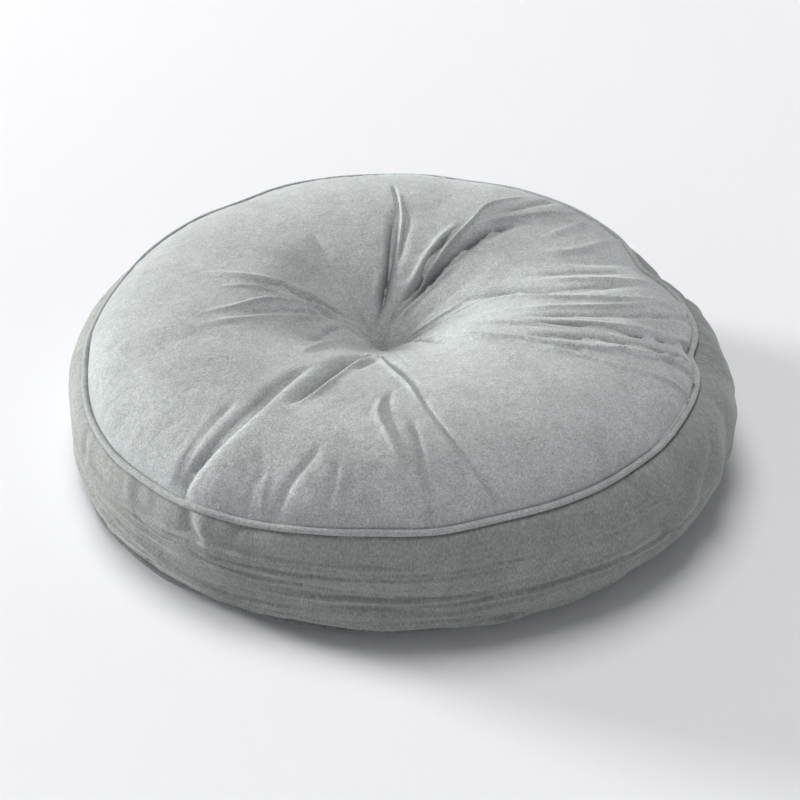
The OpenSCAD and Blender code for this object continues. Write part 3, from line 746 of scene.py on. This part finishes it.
def colour_ramp(tree, source, stops):
    ramp = add_node(tree, "ValToRGB", {"Fac": source})
    elements = ramp.color_ramp.elements
    elements.remove(elements[1])
    for i, (position, colour) in enumerate(stops):
        element = elements.new(position) if i else elements[0]
        element.position = position
        element.color = (*colour, 1)
    return ramp.outputs["Color"]


def multiply(tree, first, second):
    inputs = {"Factor": 1.0, "A": first, "B": second}
    return add_node(tree, "Mix", inputs, data_type="RGBA", blend_type="MULTIPLY").outputs["Result"]


def math_node(tree, operation, first, second):
    return add_node(tree, "Math", {0: first, 1: second}, operation=operation).outputs["Value"]


def round_coordinates(tree, place, squeeze):
    """Coordinates that run round the cushion and up it. squeeze shortens the ones that run up."""
    split = add_node(tree, "SeparateXYZ", {"Vector": place}).outputs
    turn = math_node(tree, "ARCTAN2", split["Y"], split["X"])
    length = math_node(tree, "MULTIPLY", turn, WIDEST_R)
    height = math_node(tree, "MULTIPLY", split["Z"], squeeze)
    return add_node(tree, "CombineXYZ", {"X": length, "Y": height}).outputs["Vector"]


def velvet(name, base, bump=0.3, round_it=False):
    """Cotton velvet: a short pile, brushed lighter and darker in patches and strokes, with a soft sheen.

    On a flat panel it is painted a little darker on the left and a little lighter on the right, as painted
    shade and painted light."""
    material, tree, shader = new_material(name)
    place = add_node(tree, "TexCoord", {}).outputs["Object"]
    if round_it:
        place = round_coordinates(tree, place, 0.55)
    dark, light = (tuple(c * share for c in base) for share in (0.89, 1.07))
    patches = noise(tree, place, 16, 5, 0.62, 0.6)
    colour = colour_ramp(tree, patches, [(0.34, dark), (0.5, base), (0.68, light)])
    strokes, pile = noise(tree, place, 95, 3, 0.6, 1.4), noise(tree, place, 620, 3, 0.7)
    for source, low, high in ((strokes, 0.90, 1.07), (pile, 0.70, 1.26)):
        tone = colour_ramp(tree, source, [(0.32, (low,) * 3), (0.68, (high,) * 3)])
        colour = multiply(tree, colour, tone)
    # Painted shade and painted light: darker towards -X, lighter towards +X.
    if not round_it:
        lean = add_node(tree, "VectorMath", {0: place, 1: (1, 0, 0)}, operation="DOT_PRODUCT")
        ranges = {"From Min": -0.27, "From Max": 0.2, "To Min": 0.86, "To Max": 1.1}
        tone = add_node(tree, "MapRange", {"Value": lean.outputs["Value"], **ranges})
        colour = multiply(tree, colour, tone.outputs["Result"])
    # Painted shade: where the mesh's crease attribute is 1, the base colour falls to 0.46 of itself.
    crease = add_node(tree, "Attribute", {}, attribute_name="crease").outputs["Fac"]
    closed = colour_ramp(tree, crease, [(0, (1.0,) * 3), (1, (0.46, 0.47, 0.48))])
    crumple = noise(tree, place, 75, 4, 0.55, 0.8)
    waviness = add_node(tree, "Bump", {"Strength": bump, "Distance": 3.6 * MM, "Height": crumple})
    nap = noise(tree, place, 480, 4, 0.75)
    relief = add_node(tree, "Bump", {"Strength": bump, "Distance": 2.4 * MM, "Height": nap})
    set_inputs(tree, relief, {"Normal": waviness.outputs["Normal"]})
    set_inputs(tree, shader, {
        "Base Color": multiply(tree, colour, closed), "Roughness": 0.95, "Specular IOR Level": 0.12,
        "Sheen Weight": 0.4, "Sheen Roughness": 0.35, "Sheen Tint": (0.93, 0.97, 0.96, 1),
        "Normal": relief.outputs["Normal"],
    })
    return material


def plain(name, colour, roughness, metallic=0.0, scale=300, bump=0.1):
    """A plain finish with a little variation in tone and relief."""
    material, tree, shader = new_material(name)
    grain = noise(tree, add_node(tree, "TexCoord", {}).outputs["Object"], scale, 3)
    low, high = tuple(c * 0.88 for c in colour), tuple(min(c * 1.08, 1) for c in colour)
    tone = colour_ramp(tree, grain, [(0.3, low), (0.7, high)])
    relief = add_node(tree, "Bump", {"Strength": bump, "Distance": 0.4 * MM, "Height": grain})
    set_inputs(tree, shader, {
        "Base Color": tone, "Roughness": roughness, "Metallic": metallic,
        "Normal": relief.outputs["Normal"],
    })
    return material


VELVET = (0.432, 0.453, 0.447)
velvet_cloth = velvet("velvet", VELVET)
# The band is the top's velvet at about 0.65 of its tone: painted shade for the band's sides.
shaded_band_cloth = velvet("band_velvet_painted_shade", (0.282, 0.294, 0.279), round_it=True)
piping_cloth = velvet("piping_velvet", tuple(c * 0.90 for c in VELVET), 0.35)
# The lower piping is the top's velvet at 0.4 of its tone: painted shade for its place under the band's
# overhang.
shaded_lower_piping_cloth = velvet("lower_piping_shaded_velvet", tuple(c * 0.4 for c in VELVET), 0.35)
thread = plain("thread", (0.36, 0.375, 0.37), 0.6, scale=1500)
pale_thread = plain("pale_thread", (0.78, 0.78, 0.76), 0.55, scale=1500)
tape_cloth = plain("zip_tape", (0.30, 0.32, 0.315), 0.8, scale=1800, bump=0.5)
coil_nylon = plain("zip_coil", (0.34, 0.36, 0.355), 0.4)
nickel = plain("zip_metal", (0.66, 0.66, 0.64), 0.28, 1.0, scale=900, bump=0.05)
satin = plain("label_satin", (0.84, 0.84, 0.83), 0.4)
lining = plain("lining", (0.80, 0.80, 0.78), 0.85, scale=1600, bump=0.4)
fibre = plain("fibre_filling", (0.86, 0.86, 0.85), 0.9, scale=400, bump=0.8)
cotton = plain("piping_cord", (0.82, 0.80, 0.75), 0.8, scale=1500, bump=0.4)


# ---------------------------------------------------------------- the cushion's pieces
CLOTH_T = 2 * MM
TOP_ROWS, TOP_COLUMNS = 168, 560
BASE_ROWS, BASE_COLUMNS = 70, 320
INNER_STEP = 8  # the inner face of a cloth has this many times fewer columns
PIPING_SIDES = 16


def finish_piece(piece, body, slot, *nodes):
    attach(piece, body)
    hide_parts(*nodes)


def make_top_panel():
    face = top_face(TOP_ROWS, TOP_COLUMNS)
    inner = lined(face, CLOTH_T, 7, INNER_STEP)
    panel = cloth_piece("top_cover", face, inner, True, velvet_cloth, True)
    # The crease attribute holds painted shade for the velvet: darkest in deep valleys and round the tuft.
    share, azimuth = top_net(TOP_ROWS, TOP_COLUMNS)
    shade = np.zeros(len(panel.data.vertices))
    shade[:share.size] = creases(share * RIM_R, azimuth).ravel()
    panel.data.attributes.new("crease", "FLOAT", "POINT").data.foreach_set("value", shade)
    finish_piece(panel, "root", "velvet", "top_panel")


def make_base_panel():
    face = base_face(BASE_ROWS, BASE_COLUMNS)
    inner = lined(face, -CLOTH_T, 5, INNER_STEP)
    panel = cloth_piece("base_cover", face[:, ::-1], inner[:, ::-1], True, velvet_cloth, True)
    finish_piece(panel, "root", "velvet", "bottom_panel")


def make_band():
    face = side_face(72, 401)
    band = cloth_piece("band", face, lined(face, CLOTH_T, 6, INNER_STEP, False), False, shaded_band_cloth)
    finish_piece(band, "root", "velvet", "side_band")
    for upper in (True, False):
        face = strip_face(36, 281, upper)
        name = "upper" if upper else "lower"
        inner = lined(face, CLOTH_T, 4, INNER_STEP, False)
        strip = cloth_piece(f"zip_band_{name}", face, inner, False, shaded_band_cloth)
        finish_piece(strip, "root", "velvet", f"zip_strip_{name}")


def make_piping(name, seam, material, node):
    azimuth = np.linspace(0, 360, 1440, endpoint=False)
    rng = np.random.default_rng(len(name))
    lumps = value_noise(azimuth / 360, 0 * azimuth, int(rng.integers(99)), 160, 1)
    size = PIPING_R * (1 + 0.03 * lumps)
    piping = tube(name, seam(azimuth), size[:, None], PIPING_SIDES, material)
    finish_piece(piping, "root", "piping_velvet", node)


def disc_shell(name, face, thickness, node):
    """A thin round piece of the inner case."""
    inner = face.copy()
    inner[..., 2] += thickness
    if thickness > 0:
        face, inner = face[:, ::-1], inner[:, ::-1]
    shell = cloth_piece(name, face, inner, True, lining, True)
    finish_piece(shell, "root", "lining", node)


def make_inside():
    """The inner case and the filling, which follow the cover from just inside it."""
    case_gap, case_t, fill_gap = 2.6 * MM, 0.6 * MM, 3.6 * MM
    band_gap = 6.5 * MM
    top_rows, base_rows, columns = 60, 24, 160
    disc_shell("case_top", top_face(top_rows, columns, case_gap), -case_t, "inner_case_top")
    disc_shell("case_base", base_face(base_rows, columns, case_gap), case_t, "inner_case_bottom")
    round_it = np.linspace(0, 360, columns, endpoint=False)
    across, azimuth = np.meshgrid(np.linspace(0.1, 0.9, 16), round_it, indexing="ij")
    outer = band_face(azimuth, across, band_gap)
    inner = band_face(azimuth, across, band_gap + case_t)
    case_band = cloth_piece("case_band", outer, inner, True, lining)
    finish_piece(case_band, "root", "lining", "inner_case_band")
    top, base = top_face(top_rows, columns, fill_gap), base_face(base_rows, columns, fill_gap)
    around = band_face(azimuth, across, band_gap + fill_gap - case_gap)
    stack = np.concatenate([top, around, base[::-1]])
    faces = grid_faces(len(stack), columns, True)
    last = (len(stack) - 1) * columns
    faces += [tuple(range(columns)), tuple(range(last, last + columns))[::-1]]
    filling = make_object("stuffing", stack.reshape(-1, 3), faces, fibre)
    finish_piece(filling, "root", "fibre_filling", "filling")


def make_cord(name, seam, node):
    """The twisted cotton cord inside a piping."""
    sides = 12
    azimuth = np.linspace(0, 360, 720, endpoint=False)
    turn = np.linspace(0, 2 * math.pi, sides, endpoint=False)
    size = CORD_R * (0.94 + 0.06 * np.cos(3 * turn + np.radians(azimuth * 180)[:, None]))
    cord = tube(name, seam(azimuth), size, sides, cotton)
    finish_piece(cord, "root", "piping_cord", node)


# ---------------------------------------------------------------- the zip
MID_R = (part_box("zip_coil_upper")[1].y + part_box("zip_tape_upper")[1].y) / 2
COIL_FROM, COIL_TO = 24.0, 157.0
COIL_PITCH = 1.4 * MM
STITCH_GAP = 10 * MM
STITCH_LENGTH, STITCH_R = 3.0 * MM, 0.27 * MM
STITCH_LIFT, STITCH_DIP = 0.12 * MM, 0.45 * MM


def make_coil(side, sign):
    """One nylon coil: a flattened helix whose turns reach the middle line and mesh with the other side's."""
    per_turn = 12
    turns = int(MID_R * math.radians(COIL_TO - COIL_FROM) / COIL_PITCH)
    t = np.arange(turns * per_turn) / per_turn
    phase = 2 * math.pi * (t + (0 if sign > 0 else 0.5))
    azimuth = COIL_FROM + (COIL_TO - COIL_FROM) * t / turns
    z = MIDDLE_Z + sign * (1.55 * MM - 1.15 * MM * np.cos(phase))
    path = around_point(MID_R + 0.62 * MM * np.sin(phase), azimuth, z)
    coil = tube(f"coil_{side}", path, 0.3 * MM, 5, coil_nylon, False)
    finish_piece(coil, "root", "zip_coil", f"zip_coil_{side}")


def make_stitches(side, sign):
    """A row of stitches through the velvet beside the zip: each dips into the cloth at its ends."""
    count = int(WIDEST_R * math.radians(ZIP_END - ZIP_START) / STITCH_LENGTH)
    step = (ZIP_END - ZIP_START) / count
    vertices, faces, sides = [], [], 6
    turn = np.linspace(0, 2 * math.pi, sides, endpoint=False)[:, None]
    along = np.linspace(-0.46, 0.46, 7)
    lift = STITCH_LIFT - STITCH_DIP * (2 * np.abs(along)) ** 3
    for i in range(count):
        azimuth = ZIP_START + step * (i + 0.5 + along)
        share = share_down(azimuth, MIDDLE_Z + sign * STITCH_GAP)
        out = outward(azimuth)
        middle = band_face(azimuth[None], share[None])[0] + out * lift[:, None]
        ring = out[:, None] * np.cos(turn) + np.array([0, 0, 1]) * np.sin(turn)
        first = len(vertices)
        vertices += list((middle[:, None] + STITCH_R * ring).reshape(-1, 3))
        faces += grid_faces(len(along), sides, True, first)
        last = len(vertices) - sides
        faces += [tuple(range(first, first + sides)), tuple(range(last, last + sides))[::-1]]
    row = make_object(f"stitches_{side}", vertices, faces, thread)
    finish_piece(row, "root", "thread", f"zip_stitch_{side}")


# ---------------------------------------------------------------- the tuft
THREAD_R, THREAD_Y = 0.62 * MM, 0.5 * MM
HALF_STITCH, STITCH_RISE = 2.7 * MM, 0.9 * MM


def strand(start, drift, heights):
    """A strand from one end of the stitch, at x = start, down to the knot, which is on the axis."""
    fallen = STITCH_Z - heights
    x = start - TUFT_X * fallen / (STITCH_Z - KNOT_TOP_Z) + drift * fallen / STITCH_Z
    return np.stack([x, THREAD_Y + 0 * x, heights], axis=-1)


def make_tuft():
    """The thread of the tuft: two strands down through the cushion and the pale stitch across the top."""
    t = np.linspace(0, math.pi, 25)
    across = TUFT_X - HALF_STITCH * np.cos(t)
    arch = np.stack([across, THREAD_Y + 0 * t, STITCH_Z + STITCH_RISE * np.sin(t)], axis=-1)
    down = np.linspace(STITCH_Z, KNOT_TOP_Z - 1 * MM, 30)[1:]
    left = strand(TUFT_X - HALF_STITCH, HALF_STITCH - 2.2 * MM, down)
    right = strand(TUFT_X + HALF_STITCH, 0.0, down)
    path = np.concatenate([left[::-1], arch, right])
    sides = 10
    turn = np.linspace(0, 2 * math.pi, sides, endpoint=False)
    size = THREAD_R * (0.9 + 0.1 * np.cos(2 * turn + np.arange(len(path))[:, None] * 0.9))
    cord = tube("tuft_stitch", path, size, sides, pale_thread, False)
    finish_piece(cord, "root", "thread", "tuft_cord")


make_top_panel()
make_base_panel()
make_band()
make_piping("upper_piping", upper_seam, piping_cloth, "top_piping_cover")
make_piping("lower_piping", lower_seam, shaded_lower_piping_cloth, "bottom_piping_cover")
make_cord("upper_piping_core", upper_seam, "top_piping_cord")
make_cord("lower_piping_core", lower_seam, "bottom_piping_cord")
make_inside()
for side, sign in (("upper", 1), ("lower", -1)):
    make_coil(side, sign)
    make_stitches(side, sign)
make_tuft()
for side in ("upper", "lower"):
    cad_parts[f"zip_tape_{side}"].data.materials[0] = tape_cloth
for name in ("zip_top_stops", "zip_bottom_stop", "zip_slider", "zip_pull"):
    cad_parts[name].data.materials[0] = nickel
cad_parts["tuft_knot"].data.materials[0] = thread
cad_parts["care_label"].data.materials[0] = satin


# ---------------------------------------------------------------- floor, light and camera
def make_floor():
    """A white floor that curves up into a wall all round, far behind the camera."""
    material, tree, shader = new_material("floor")
    white = {"Base Color": (0.80, 0.80, 0.82, 1), "Roughness": 0.9, "Specular IOR Level": 0.1}
    set_inputs(tree, shader, white)
    flat_r, cove_r, wall_top = 6.0, 2.5, 4.5
    profile = [(0.02, 0.0), (1.0, 0.0), (3.0, 0.0), (flat_r, 0.0)]
    for t in np.linspace(0.1, math.pi / 2, 14):
        profile.append((flat_r + cove_r * math.sin(t), cove_r - cove_r * math.cos(t)))
    profile.append((flat_r + cove_r, wall_top))
    turn = np.linspace(0, 2 * math.pi, 96, endpoint=False)
    sweep = np.array([[(r * math.cos(a), r * math.sin(a), z) for a in turn] for r, z in profile])
    faces = grid_faces(len(profile), len(turn), True) + [tuple(range(len(turn)))]
    floor = make_object("floor", sweep.reshape(-1, 3), faces, material)


def make_light(name, kind, azimuth, elevation, distance, power):
    """A light at an azimuth and at an elevation in degrees, aimed at the origin."""
    a, e = math.radians(azimuth), math.radians(elevation)
    place = Vector((math.cos(e) * math.cos(a), math.cos(e) * math.sin(a), math.sin(e))) * distance
    light = bpy.data.lights.new(name, kind)
    light.energy = power
    lamp = bpy.data.objects.new(name, light)
    lamp.location = place
    lamp.rotation_euler = (-place).to_track_quat("-Z", "Y").to_euler()
    bpy.context.scene.collection.objects.link(lamp)
    return light


def make_lights():
    """A large soft key from high at the back left, a low one from the left, and a pale room."""
    key = make_light("key", "SUN", azimuth=113, elevation=69, distance=3, power=1.92)
    key.angle = math.radians(34)
    side = make_light("side", "AREA", azimuth=154, elevation=12, distance=7, power=700)
    side.shape = "DISK"
    side.size = 1.9
    world = bpy.data.worlds.new("studio")
    world.use_nodes = True
    background = world.node_tree.nodes["Background"]
    background.inputs["Color"].default_value = (0.97, 0.98, 1.0, 1)
    background.inputs["Strength"].default_value = 0.125
    bpy.context.scene.world = world


def make_camera():
    """The photo's view, from the front and above. The shifts put the cushion where the photo has it."""
    elevation, distance = math.radians(34), 2.2
    looked_at = Vector((0, 0, LOWER_Z))
    data = bpy.data.cameras.new("camera")
    data.sensor_width = 36
    data.lens = 105.6
    data.shift_x = 0.0115
    data.shift_y = 0.0383
    camera = bpy.data.objects.new("camera", data)
    camera.location = looked_at + Vector((0, -math.cos(elevation), math.sin(elevation))) * distance
    camera.rotation_euler = (looked_at - camera.location).to_track_quat("-Z", "Y").to_euler()
    bpy.context.scene.collection.objects.link(camera)
    bpy.context.scene.camera = camera


make_floor()
make_lights()
make_camera()
bpy.context.scene.view_settings.view_transform = "Standard"
